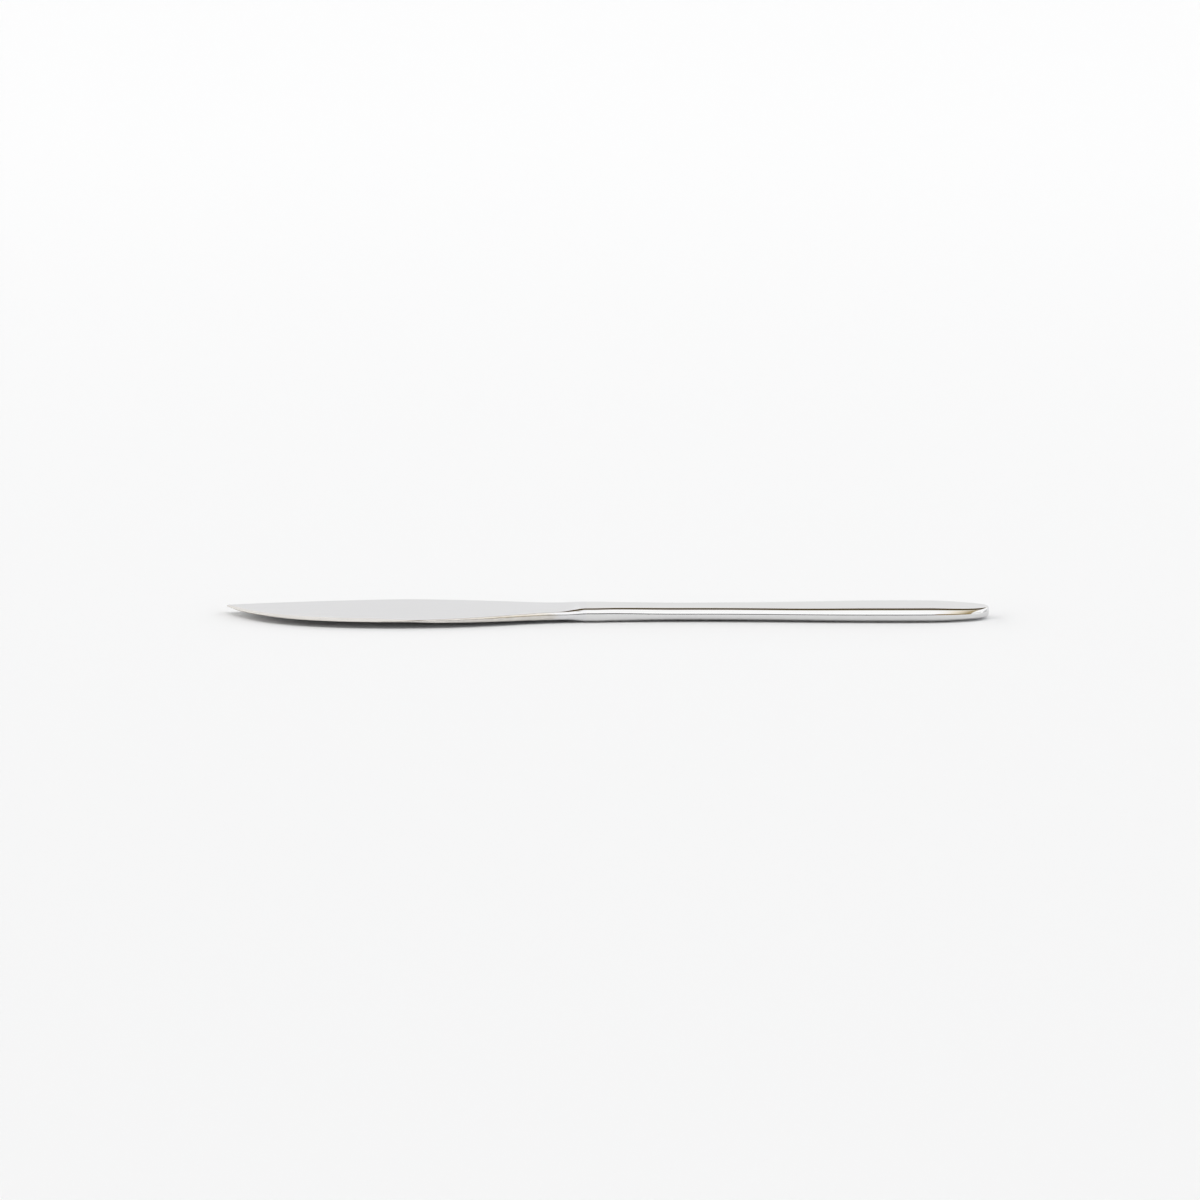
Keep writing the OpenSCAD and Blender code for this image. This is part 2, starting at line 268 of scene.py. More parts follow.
class HandleSizes(bpy.types.PropertyGroup):
    """Sizes of the hollow handle"""

    length: length("Length", "From the joint with the blade to the butt", SHELL_HIGH.x - JOINT.x)
    neck_width: length("Neck width", "Width at the joint", SOLDER_HIGH.y - SOLDER_LOW.y)
    waist_width: length("Waist width", "Width at the narrowest place", 0.0088)
    waist_at: length("Waist at", "Distance from the joint to the waist", 0.028)
    butt_width: length("Butt width", "Width near the butt", SHELL_HIGH.y - SHELL_LOW.y)
    butt_round: length("Butt round", "Length of the rounded end behind the widest place", 0.025)
    butt_land: length("Butt land", "Level stretch before the rounded end", 0.008)
    thickness: length("Thickness", "Thickness at the joint and the butt land", SOLDER_HIGH.z - SOLDER_LOW.z)
    waist_thickness: length("Waist thickness", "Thickness at the waist", 0.004)
    neck_land: length("Neck land", "Length of the level stretch behind the joint", 0.005)
    end_thickness: length("End thickness", "Thickness at the butt's end", 0.0033)
    end_taper: length("End taper", "Length over which the handle thins towards the butt's end", 0.02)
    end_round: length("End round", "Length over which the corners of the butt's end round off", 0.0006)
    wall: length("Wall", "Wall of the pressed half shells", 0.0007)
    butt_solid: length("Butt solid", "Solid metal behind the cavity", 0.008)
    solder: length("Solder", "Thickness of the solder at the joint", SOLDER_HIGH.x - SOLDER_LOW.x)
    seam: length("Seam", "Thickness of the filler between the shells", SEAM_HIGH.z - SEAM_LOW.z)


class FinishSettings(bpy.types.PropertyGroup):
    """Colours and polish of the metals and the cement"""

    blade_colour: colour("Blade", "Colour of the blade's steel", (0.73, 0.73, 0.74))
    blade_roughness: factor("Blade roughness", "Roughness of the blade's fine polish", 0.1)
    # The grind's warm tint is partly a painted reflection of the warm wall that the grind mirrors; its
    # streaks and satin are its own.
    grind_and_sheen_colour: colour("Grind", "Colour of the satin grind along the edge", (0.73, 0.705, 0.665))
    grind_roughness: factor("Grind roughness", "Roughness of the satin grind along the edge", 0.2)
    handle_colour: colour("Handle", "Colour of the handle's steel", (0.74, 0.74, 0.74))
    handle_roughness: factor("Handle roughness", "Roughness of the handle's mirror polish", 0.045)
    face_roughness: factor("Face roughness", "Roughness of the satin on the flat faces", 0.38)
    filler_colour: colour("Filler", "Colour of the seam's filler", (0.73, 0.73, 0.725))
    solder_colour: colour("Solder", "Colour of the solder at the neck", (0.74, 0.74, 0.73))
    cement_colour: colour("Cement", "Colour of the bedding cement", (0.45, 0.4, 0.34))


class StageSettings(bpy.types.PropertyGroup):
    """The table, the light and the camera"""

    table_near: colour("Table near", "Colour of the table near the camera", (0.89, 0.89, 0.89))
    table_far: colour("Table far", "Colour of the table far behind the knife", (0.955, 0.955, 0.955))
    # Painted shade: under the knife the table throws back this dark colour in place of its own, which
    # deepens the shadow under the blade and along the handle.
    table_shade_bounce: colour(
        "Table bounce", "Colour of the table in the light that it throws back", (0.15, 0.15, 0.15)
    )
    table_size: length("Table size", "Side of the square table top", 12)
    table_gap: length("Table gap", "Hairline under the knife, so that no two faces share a plane", 1e-5)
    fill_low: colour("Fill low", "Light on the table from low in front", (0.16, 0.16, 0.16))
    fill_front: colour("Fill front", "Light on the table from high in front", (0.11, 0.11, 0.11))
    fill_top: colour("Fill top", "Light on the table from above", (2.2, 2.2, 2.2))
    fill_behind: colour("Fill behind", "Light on the table from high behind", (0.2, 0.2, 0.2))
    fill_back: colour("Fill back", "Light on the table from low behind", (0.45, 0.45, 0.45))
    fill_left: colour("Fill left", "Light on the table from low at the left", (2.95, 2.91, 2.84))
    fill_right: colour("Fill right", "Light on the table from low at the right", (2.85, 2.89, 2.98))
    window: colour("Window", "Windows and softbox that the metal mirrors", (1.3, 1.3, 1.3))
    screen: colour("Screen", "Grey screen low in the right window", (0.85, 0.85, 0.86))
    cream: colour("Cream", "Warm wall beside the front window", (1.1, 1.0, 0.82))
    gold: colour("Gold", "Warm wall before the right window", (0.5, 0.4, 0.22))
    gold_low: colour("Gold low", "Foot of the warm wall", (0.36, 0.27, 0.13))
    dim_room: colour("Dim room", "Dim corner at the front left", (0.3, 0.27, 0.24))
    horizon: colour("Horizon", "Dark strip under the front window", (0.03, 0.03, 0.03))
    ceiling: colour("Ceiling", "Ceiling behind the softbox", (0.9, 0.84, 0.74))
    beam: colour("Beam", "Dark warm beam across the ceiling", (0.075, 0.045, 0.01))
    backdrop_high: colour("Backdrop high", "Upper part of the backdrop", (1.08, 1.06, 1.02))
    backdrop_low: colour("Backdrop low", "Lower part of the backdrop", (1.06, 1.07, 1.085))
    side_light: colour("Sides", "Pale walls at both sides", (0.75, 0.75, 0.75))
    camera_aim: FloatVectorProperty(
        name="Camera aim",
        description="Point that the camera looks at",
        default=(-0.0020, 0.00135, 0.00534),
        subtype="TRANSLATION",
        unit="LENGTH",
    )
    camera_distance: length("Camera distance", "From the camera to the point it looks at", 0.87)
    camera_elevation: angle("Camera elevation", "Height of the camera above the table", 16)
    camera_turn: angle("Camera turn", "Turn of the camera round the knife", -0.39)
    camera_lens: FloatProperty(
        name="Camera lens",
        description="Focal length on a sensor 36 mm wide",
        default=86.65,
        unit="CAMERA",
    )


class TableKnifeSettings(bpy.types.PropertyGroup):
    """All settings of the table knife"""

    blade: PointerProperty(name="Blade", description="Sizes of the blade", type=BladeSizes)
    handle: PointerProperty(name="Handle", description="Sizes of the handle", type=HandleSizes)
    finish: PointerProperty(name="Finish", description="Colours and polish", type=FinishSettings)
    stage: PointerProperty(name="Stage", description="Table, light and camera", type=StageSettings)


def mix(start, end, share):
    """Value at a share of the way from one value to another."""
    return start + (end - start) * share


def share_of(x, start, end):
    """Share of the way from one place to another, held between 0 and 1."""
    return min(1, max(0, (x - start) / (end - start)))


def ease(x, start, end):
    """Smooth step from 0 to 1 between two places."""
    share = share_of(x, start, end)
    return share * share * (3 - 2 * share)


def round_off(x, reach, least):
    """Rise of a rounded end, from part of the height to all of it over a length."""
    return mix(least, 1, math.sqrt(1 - (1 - share_of(x, 0, reach)) ** 2))


def bezier(points, t):
    """Point on the cubic curve of four control points."""
    weights = ((1 - t) ** 3, 3 * (1 - t) ** 2 * t, 3 * (1 - t) * t * t, t ** 3)
    return [sum(weight * point[axis] for weight, point in zip(weights, points)) for axis in (0, 1)]


def curve_y(points, x):
    """Height of a cubic curve at a place along X."""
    low, high = 0, 1
    for _ in range(CURVE_TRIES):
        middle = (low + high) / 2
        if bezier(points, middle)[0] < x:
            low = middle
        else:
            high = middle
    return bezier(points, (low + high) / 2)[1]


def level_curve(start, end, pull):
    """Curve that leaves its first point level and reaches its last point level."""
    return (
        start,
        (mix(start[0], end[0], pull[0]), start[1]),
        (mix(end[0], start[0], pull[1]), end[1]),
        end,
    )


def turned_in(turn, power):
    """How far in a rounded side has come, after it has turned by an angle."""
    return 1 - max(0, math.cos(turn)) ** (2 / power)


def turned_up(turn, power):
    """How far up a rounded side has come, after it has turned by an angle."""
    return math.sin(turn) ** (2 / power)


def cap(y, depth, low, high, power, turn=QUARTER):
    """One rounded side of a section, from its outermost point to where the flat face begins."""
    inward = depth / turned_in(turn, power)
    upward = 1 / turned_up(turn, power)
    return [
        (
            y + inward * turned_in(turn * share, power),
            mix(low, high, upward * turned_up(turn * share, power)),
        )
        for share in CAP_TURNS
    ]


def upper_half(edge_cap, spine_cap):
    """Upper half of a section: the edge side, the flat face and the spine side."""
    (edge_y, edge_z), (spine_y, spine_z) = edge_cap[-1], spine_cap[-1]
    flat = [(mix(edge_y, spine_y, share), mix(edge_z, spine_z, share)) for share in FLAT_SHARES]
    return edge_cap + flat + spine_cap[::-1]


def whole(half):
    """Whole section from its upper half."""
    return half + [(y, -z) for y, z in reversed(half)]


def ring(x, section):
    """Points of a section at a place along the knife, in the frame."""
    return [JOINT + Vector((x, y, z)) for y, z in section]


class KnifeForm:
    """Outlines and sections of the knife, worked out from its sizes"""

    def __init__(self, settings):
        self.blade = settings.blade
        self.handle = settings.handle
        self.seam_z = self.handle.seam / 2
        self.belly_x = self.blade.belly_from_tip - self.blade.length
        self.runout_x = -self.blade.shoulder - self.blade.runout
        self.butt_x = self.handle.length - self.handle.butt_round
        self.land_x = self.butt_x - self.handle.butt_land
        self.taper_x = max(self.butt_x, self.handle.length - self.handle.end_taper)
        self.even_x = mix(self.handle.waist_at, self.land_x, EVEN_SHARE)
        self.cavity_end = self.handle.length - self.handle.butt_solid
        self.draw_outlines()

    def draw_outlines(self):
        """The curves of the spine, the edge and the handle's sides, seen from above."""
        blade, handle, belly_x = self.blade, self.handle, self.belly_x
        tip_x = -blade.length
        waist = (handle.waist_at, handle.waist_width / 2)
        self.spine_fore = (
            (tip_x, blade.tip_rise + blade.tip_flat / 2),
            (mix(tip_x, belly_x, SPINE_TIP_PULL), mix(blade.tip_rise, blade.spine_rise, SPINE_TIP_LIFT)),
            (mix(belly_x, tip_x, SPINE_PEAK_PULL), blade.spine_rise),
            (belly_x, blade.spine_rise),
        )
        self.edge_fore = (
            (tip_x, blade.tip_rise - blade.tip_flat / 2),
            (mix(tip_x, belly_x, EDGE_TIP_PULL), mix(blade.tip_rise, -blade.edge_drop, EDGE_TIP_FALL)),
            (mix(belly_x, tip_x, EDGE_BELLY_PULL), -blade.edge_drop),
            (belly_x, -blade.edge_drop),
        )
        spine_end = (0, handle.neck_width / 2)
        edge_end = (0, -handle.neck_width / 2)
        self.spine_aft = level_curve((belly_x, blade.spine_rise), spine_end, SPINE_AFT_PULL)
        self.edge_aft = level_curve((belly_x, -blade.edge_drop), edge_end, EDGE_AFT_PULL)
        self.neck_curve = level_curve(spine_end, waist, NECK_PULL)
        self.grip_curve = level_curve(waist, (self.butt_x, handle.butt_width / 2), GRIP_PULL)

    def spine_y(self, x):
        """Outline of the spine."""
        return curve_y(self.spine_fore if x < self.belly_x else self.spine_aft, x)

    def edge_y(self, x):
        """Outline of the cutting edge."""
        return curve_y(self.edge_fore if x < self.belly_x else self.edge_aft, x)

    def half_width(self, x):
        """Half the handle's width."""
        if x < self.handle.waist_at:
            return curve_y(self.neck_curve, x)
        if x < self.butt_x:
            return curve_y(self.grip_curve, x)
        along = (x - self.butt_x) * BUTT_CUT / self.handle.butt_round
        return self.handle.butt_width / 2 * (1 - along ** BUTT_POWER) ** (1 / BUTT_POWER)

    def half_thickness(self, x):
        """Half the handle's thickness, before its butt rounds off."""
        handle = self.handle
        waisting = ease(x, handle.neck_land, handle.waist_at) * (1 - ease(x, self.even_x, self.land_x))
        grip = mix(handle.thickness, handle.waist_thickness, waisting)
        return mix(grip, handle.end_thickness, ease(x, self.taper_x, handle.length)) / 2

    def side_power(self, x):
        """Roundness of the handle's sides, which are flatter at the neck than at the grip."""
        return mix(NECK_POWER, CIRCLE_POWER, ease(x, 0, self.handle.waist_at))

    def swelling(self, x, reach):
        """Growth of the shoulder from 0 at its start to 1 at its end, where it levels off softly."""
        steps = [mix(-SWELL_SOFT, SWELL_SOFT, i / SWELL_STEPS) for i in range(SWELL_STEPS + 1)]
        grown = [share_of(x + step, -reach, -self.blade.shoulder_land) ** SWELL_POWER for step in steps]
        return sum(grown) / len(grown)

    def honing(self, x):
        """Share of the narrow honed bevel: all of it at the tip, and none at the belly."""
        reach = self.blade.honed_length
        return 1 - ease(x + self.blade.length, reach * HONED_SHARE, reach)

    @lru_cache(maxsize=None)
    def edge_cap(self, x):
        """Edge side of the blade: a bevel that turns into a blunt side and then the handle's round side."""
        blade, full = self.blade, self.handle.thickness
        run = share_of(x, self.runout_x, -blade.shoulder)
        blunt = ease(x, self.runout_x - blade.bevel_fade, self.runout_x + blade.bevel_fade)
        swell = self.swelling(x, blade.shoulder)
        tip = round_off(x + blade.length, blade.tip_round, TIP_SHARE)
        room = CAP_SHARE * (self.spine_y(x) - self.edge_y(x))
        blunt_top = mix(blade.bevel_thickness, blade.heel_thickness, run) / 2
        heel_slope = turned_in(blade.heel_turn, NECK_POWER) / turned_up(blade.heel_turn, NECK_POWER)
        depth = min(room, mix(mix(blade.bevel_width, blunt_top * heel_slope, blunt), full / 2, swell))
        low = mix(blade.edge_thickness, self.handle.seam, blunt) / 2
        top = mix(blunt_top, full / 2, swell)
        power = mix(BEVEL_POWER, NECK_POWER, blunt)
        turn = mix(mix(QUARTER, blade.heel_turn, blunt), QUARTER, swell)
        honed = blade.honed_width * self.honing(x) * tip
        side = cap(self.edge_y(x) + honed, depth - honed, low * tip, top * tip, power, turn)
        side[0] = (self.edge_y(x), low * tip * mix(1, RIM_SHARE, self.honing(x)))
        return side

    def spine_cap(self, x):
        """Spine side of the blade: small corners that turn into the handle's round side."""
        blade, full = self.blade, self.handle.thickness
        run = share_of(x, self.runout_x, -blade.spine_shoulder)
        swell = self.swelling(x, blade.spine_shoulder)
        tip = round_off(x + blade.length, blade.tip_round, TIP_SHARE)
        room = CAP_SHARE * (self.spine_y(x) - self.edge_y(x))
        taper = share_of(x, -blade.length, -blade.spine_shoulder)
        spine_full = mix(blade.tip_thickness, blade.heel_thickness, taper)
        depth = min(room, mix(mix(blade.spine_round, blade.heel_thickness / 2, run), full / 2, swell))
        top = mix(spine_full, full, swell) / 2
        low = mix(max(top - depth, self.seam_z), self.seam_z, swell)
        power = mix(CIRCLE_POWER, NECK_POWER, swell)
        return cap(self.spine_y(x), -depth, low * tip, top * tip, power)

    def blade_half(self, x):
        """Upper half of a blade section."""
        return upper_half(self.edge_cap(x), self.spine_cap(x))

    def grind(self, point):
        """Share of the satin grind at a point of the blade: all along the edge, up to the shoulder."""
        x, y = point.x - JOINT.x, point.y - JOINT.y
        blade = self.blade
        place = min(0, max(-blade.length, x))
        side = self.edge_cap(place)
        edge_y, face_y = side[0][0], side[-1][0]
        across = 1 - ease(y, face_y, mix(edge_y, face_y, 1 + GRIND_FADE))
        grind_end = -mix(blade.grind_side_end, blade.grind_end, share_of(y, edge_y, face_y))
        above_rim = mix(1, share_of(y, edge_y, side[1][0]), self.honing(place))
        return above_rim * across * (1 - ease(x, grind_end - blade.grind_fade, grind_end))

    def grip_half(self, x, inset, low):
        """Handle section, set in from the outside: round sides and flat faces."""
        full = self.half_thickness(x)
        half_width = self.half_width(x)
        width = half_width - inset
        top = full * round_off(self.handle.length - x, self.handle.end_round, END_SHARE) - inset
        depth = min(full, 2 * CAP_SHARE * half_width) - inset
        power = self.side_power(x)
        return upper_half(cap(-width, depth, low, top, power), cap(width, -depth, low, top, power))

    def tang_half(self, x):
        """Tang section: a flat bar with round sides."""
        blade = self.blade
        width = mix(blade.tang_width, blade.tang_end_width, share_of(x, 0, blade.tang_length)) / 2
        top = blade.tang_thickness / 2
        return upper_half(
            cap(-width, top, self.seam_z, top, CIRCLE_POWER),
            cap(width, -top, self.seam_z, top, CIRCLE_POWER),
        )

    def blade_stations(self):
        """Places of the blade's sections, closer together at the tip."""
        fore = self.blade.belly_from_tip
        quarter = QUARTER / FORE_STATIONS
        tip_side = [-self.blade.length + fore * (1 - math.cos(quarter * i)) for i in range(FORE_STATIONS)]
        return tip_side + [mix(self.belly_x, 0, i / AFT_STATIONS) for i in range(AFT_STATIONS + 1)]

    def handle_stations(self):
        """Places of the handle's sections, closer together at the butt."""
        handle = self.handle
        quarter = QUARTER / BUTT_STATIONS
        grip = [mix(handle.solder, self.butt_x, i / GRIP_STATIONS) for i in range(GRIP_STATIONS)]
        butt = [mix(self.butt_x, handle.length, math.sin(quarter * i)) for i in range(BUTT_STATIONS + 1)]
        return grip + butt

    def core_rings(self):
        """The cavity as a solid core, which reaches out of the shells' mouth."""
        low = self.seam_z / 2
        wall = self.handle.wall
        stations = [self.cavity_end * i / CORE_STATIONS for i in range(CORE_STATIONS + 1)]
        mouth = ring(-CORE_REACH, whole(self.grip_half(0, wall, low)))
        return [mouth] + [ring(x, whole(self.grip_half(x, wall, low))) for x in stations]


def deselect_all():
    """Leaves nothing selected, so that the next operator acts on one piece alone."""
    bpy.ops.object.select_all(action="DESELECT")


def draw_bar(name, rings):
    """A round bar, cut into stations and drawn out so that each ring follows its section."""
    sides = len(rings[0])
    start = rings[0][0].x
    reach = rings[-1][0].x - start
    step = reach / (len(rings) - 1)
    deselect_all()
    bpy.ops.mesh.primitive_cylinder_add(
        vertices=sides,
        radius=JOINT.z,
        depth=reach,
        end_fill_type="NGON",
        location=(start + reach / 2, JOINT.y, JOINT.z),
        rotation=(0, QUARTER, 0),
    )
    piece = bpy.context.object
    piece.name = name
    piece.data.name = name
    bpy.ops.object.transform_apply(location=True, rotation=True, scale=True)
    bpy.ops.object.mode_set(mode="EDIT")
    bpy.ops.mesh.select_mode(type="EDGE")
    bpy.ops.mesh.select_all(action="DESELECT")
    mesh = bmesh.from_edit_mesh(piece.data)
    for edge in mesh.edges:
        edge.select_set(abs(edge.verts[0].co.x - edge.verts[1].co.x) > reach / 2)
    bmesh.update_edit_mesh(piece.data)
    if len(rings) > 2:
        bpy.ops.mesh.subdivide_edgering(number_cuts=len(rings) - 2, interpolation="LINEAR", smoothness=0)
    mesh = bmesh.from_edit_mesh(piece.data)
    for vert in mesh.verts:
        station = round((vert.co.x - start) / step)
        turn = math.atan2(vert.co.z - JOINT.z, vert.co.y - JOINT.y) / math.tau
        vert.co = rings[station][round(turn * sides) % sides]
    bmesh.update_edit_mesh(piece.data)
    close_surface()
    bpy.ops.object.mode_set(mode="OBJECT")
    return piece


def close_surface():
    """Merges doubles and turns all faces outwards, in edit mode."""
    bpy.ops.mesh.select_all(action="SELECT")
    bpy.ops.mesh.remove_doubles(threshold=MERGE_DISTANCE)
    bpy.ops.mesh.normals_make_consistent(inside=False)


def cut_cavity(piece, form):
    """Takes the handle's cavity out of a solid piece."""
    core = draw_bar("cavity_core", form.core_rings())
    deselect_all()
    piece.select_set(True)
    bpy.context.view_layer.objects.active = piece
    hollow = piece.modifiers.new("cavity", "BOOLEAN")
    hollow.operation = "DIFFERENCE"
    hollow.solver = "EXACT"
    hollow.object = core
    bpy.ops.object.modifier_apply(modifier=hollow.name)
    bpy.data.meshes.remove(core.data)


def mark_flats(piece):
    """Marks how flat each face of a piece lies, for the satin on the knife's two faces."""
    flat = piece.data.attributes.new("flat", "FLOAT", "FACE")
    shares = [ease(abs(face.normal.z), FLAT_START, FLAT_FULL) for face in piece.data.polygons]
    flat.data.foreach_set("value", shares)


def finish_piece(piece, material, node):
    """Smooths a piece, gives it its material and ties it to the frame."""
    deselect_all()
    piece.select_set(True)
    bpy.context.view_layer.objects.active = piece
    bpy.ops.object.shade_smooth_by_angle(angle=SMOOTH_ANGLE)
    mark_flats(piece)
    piece.data.materials.clear()
    piece.data.materials.append(material)
    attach(piece, "root")
    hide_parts(node)


def add_node(tree, kind, inputs=None, **settings):
    """A shader node with its settings, whose inputs are linked sockets or plain values."""
    made = tree.nodes.new(kind)
    for key, value in settings.items():
        setattr(made, key, value)
    for key, value in (inputs or {}).items():
        if isinstance(value, bpy.types.NodeSocket):
            tree.links.new(value, made.inputs[key])
        else:
            made.inputs[key].default_value = value
    return made


def calculate(tree, operation, *values):
    """Result of a Math node."""
    return add_node(tree, "ShaderNodeMath", dict(enumerate(values)), operation=operation).outputs[0]


def ramp_between(tree, value, start, end, low=0.0, high=1.0):
    """Smooth change from one value to another while an input goes from start to end."""
    inputs = {"Value": value, "From Min": start, "From Max": end, "To Min": low, "To Max": high}
    return add_node(tree, "ShaderNodeMapRange", inputs, interpolation_type="SMOOTHSTEP").outputs["Result"]


def ramp_linear(tree, value, start, end):
    """Share of the way from start to end."""
    inputs = {"Value": value, "From Min": start, "From Max": end}
    return add_node(tree, "ShaderNodeMapRange", inputs).outputs["Result"]


def within(tree, value, start, end):
    """1 between two soft limits, and 0 outside them."""
    begun = ramp_between(tree, value, *start)
    return calculate(tree, "MULTIPLY", begun, ramp_between(tree, value, *end, 1.0, 0.0))


def blend_colours(tree, share, first, second):
    """Colour between two colours."""
    node = add_node(tree, "ShaderNodeMix", data_type="RGBA")
    sockets = [socket for socket in node.inputs if socket.enabled]
    for socket, value in zip(sockets, (share, first, second)):
        if isinstance(value, bpy.types.NodeSocket):
            tree.links.new(value, socket)
        elif socket.type == "RGBA":
            socket.default_value = (*value, 1)
        else:
            socket.default_value = value
    return next(socket for socket in node.outputs if socket.enabled)


def new_group(name, inputs, outputs):
    """An empty shader node group with named sockets, and its input and output nodes."""
    group = bpy.data.node_groups.new(name, "ShaderNodeTree")
    for label, kind, default in inputs:
        socket = group.interface.new_socket(label, in_out="INPUT", socket_type=kind)
        if default is not None:
            socket.default_value = default
    for label in outputs:
        group.interface.new_socket(label, in_out="OUTPUT", socket_type="NodeSocketFloat")
    return group, group.nodes.new("NodeGroupInput"), group.nodes.new("NodeGroupOutput")


def polishing_lines():
    """Group: fine lines left along the knife by the polishing wheel."""
    name = "polishing_lines"
    if name in bpy.data.node_groups:
        return bpy.data.node_groups[name]
    inputs = (
        ("Position", "NodeSocketVector", None),
        ("Line Length", "NodeSocketFloat", 0.02),
        ("Line Width", "NodeSocketFloat", 0.0001),
    )
    group, given, result = new_group(name, inputs, ("Lines",))
    along, across = given.outputs["Line Length"], given.outputs["Line Width"]
    spread = add_node(group, "ShaderNodeCombineXYZ", {"X": along, "Y": across, "Z": across})
    stretched = add_node(
        group,
        "ShaderNodeVectorMath",
        {0: given.outputs["Position"], 1: spread.outputs["Vector"]},
        operation="DIVIDE",
    )
    noise = add_node(
        group, "ShaderNodeTexNoise", {"Vector": stretched.outputs["Vector"], "Scale": 1.0, "Detail": 3.0}
    )
    group.links.new(noise.outputs["Fac"], result.inputs["Lines"])
    return group


def handling_marks():
    """Group: soft smudges and a few hairline scratches from use."""
    name = "handling_marks"
    if name in bpy.data.node_groups:
        return bpy.data.node_groups[name]
    inputs = (
        ("Position", "NodeSocketVector", None),
        ("Smudge Size", "NodeSocketFloat", 0.02),
        ("Scratch Turn", "NodeSocketFloat", 0.5),
    )
    group, given, result = new_group(name, inputs, ("Smudges", "Scratches"))
    closeness = calculate(group, "DIVIDE", 1.0, given.outputs["Smudge Size"])
    smudge = add_node(
        group,
        "ShaderNodeTexNoise",
        {"Vector": given.outputs["Position"], "Scale": closeness, "Detail": 4.0, "Roughness": 0.55},
    )
    turned = add_node(
        group,
        "ShaderNodeVectorRotate",
        {"Vector": given.outputs["Position"], "Angle": given.outputs["Scratch Turn"]},
        rotation_type="Z_AXIS",
    )
    hair = add_node(
        group,
        "ShaderNodeMapping",
        {"Vector": turned.outputs["Vector"], "Scale": SCRATCH_SCALE},
    )
    scratch = add_node(
        group, "ShaderNodeTexNoise", {"Vector": hair.outputs["Vector"], "Scale": 1.0, "Detail": 0.0}
    )
    smudges = ramp_between(group, smudge.outputs["Fac"], *SMUDGE_LEVELS)
    scratches = ramp_between(group, scratch.outputs["Fac"], *SCRATCH_LEVELS)
    group.links.new(smudges, result.inputs["Smudges"])
    group.links.new(scratches, result.inputs["Scratches"])
    return group


def new_material(name):
    """An empty node material with its Principled shader, and the piece's own coordinates."""
    material = bpy.data.materials.new(name)
    material.use_nodes = True
    tree = material.node_tree
    shader = tree.nodes["Principled BSDF"]
    position = add_node(tree, "ShaderNodeTexCoord").outputs["Object"]
    return material, tree, shader, position


def place_group(tree, group, inputs):
    """One use of a shared node group with its own values."""
    return add_node(tree, "ShaderNodeGroup", inputs, node_tree=group)


def polished_steel(name, tint, roughness, face_roughness, line_size):
    """Steel with polishing lines, smudges and hairline scratches, and satin where the mesh is flat."""
    material, tree, shader, position = new_material(name)
    line_width, line_depth = line_size
    run = {"Position": position, "Line Length": LINE_LENGTH, "Line Width": line_width}
    lines = place_group(tree, polishing_lines(), run).outputs["Lines"]
    marks = place_group(tree, handling_marks(), {"Position": position})
    dull = [channel * LINE_DULL for channel in tint]
    bright = [min(1, channel * LINE_BRIGHT) for channel in tint]
    colour_out = blend_colours(tree, lines, dull, bright)
    smudges, scratches = marks.outputs["Smudges"], marks.outputs["Scratches"]
    smudged = calculate(tree, "MULTIPLY_ADD", smudges, roughness * SMUDGE_SHARE, roughness * BARE_SHARE)
    lined = calculate(tree, "MULTIPLY_ADD", lines, roughness * LINE_SHARE, smudged)
    polished = calculate(tree, "MULTIPLY_ADD", scratches, SCRATCH_ROUGHNESS, lined)
    bare_satin = face_roughness * SATIN_BARE
    satin = calculate(tree, "MULTIPLY_ADD", lines, face_roughness * SATIN_LINES, bare_satin)
    flat = add_node(tree, "ShaderNodeAttribute", attribute_name="flat").outputs["Fac"]
    rough = add_node(tree, "ShaderNodeMix", {0: flat, 2: polished, 3: satin}).outputs[0]
    height = calculate(tree, "MULTIPLY_ADD", scratches, -SCRATCH_DEPTH, lines)
    relief = {"Strength": 1.0, "Distance": line_depth, "Height": height}
    bump = add_node(tree, "ShaderNodeBump", relief)
    tree.links.new(colour_out, shader.inputs["Base Color"])
    tree.links.new(rough, shader.inputs["Roughness"])
    tree.links.new(bump.outputs["Normal"], shader.inputs["Normal"])
    shader.inputs["Metallic"].default_value = 1.0
    return material


def handle_polish(name, tint, finish):
    """The polish of the handle, for its shells and the fillers that are ground flush with them."""
    return polished_steel(name, tint, finish.handle_roughness, finish.face_roughness, HANDLE_LINES)


def grind_edge(material, tint, roughness):
    """Lays a satin grind with streaks along the knife over the polish, where the mesh asks for it; its warm
    tint is partly a painted reflection of a warm wall, while its streaks and satin are its own.
    """
    tree = material.node_tree
    shader = tree.nodes["Principled BSDF"]
    position = add_node(tree, "ShaderNodeTexCoord").outputs["Object"]
    grind = add_node(tree, "ShaderNodeAttribute", attribute_name="grind").outputs["Fac"]
    run = {"Position": position, "Line Length": STREAK_LENGTH, "Line Width": STREAK_WIDTH}
    streaks = place_group(tree, polishing_lines(), run).outputs["Lines"]
    polish_tint = shader.inputs["Base Color"].links[0].from_socket
    polish_rough = shader.inputs["Roughness"].links[0].from_socket
    dark = [channel * STREAK_DARK for channel in tint]
    streaked = blend_colours(tree, ramp_between(tree, streaks, *STREAK_TINT_LEVELS), dark, tint)
    smoothest, roughest = (roughness * share for share in STREAK_ROUGH)
    ground_rough = ramp_between(tree, streaks, *STREAK_ROUGH_LEVELS, smoothest, roughest)
    colour_out = blend_colours(tree, grind, polish_tint, streaked)
    rough = add_node(tree, "ShaderNodeMix", {0: grind, 2: polish_rough, 3: ground_rough}).outputs[0]
    tree.links.new(colour_out, shader.inputs["Base Color"])
    tree.links.new(rough, shader.inputs["Roughness"])


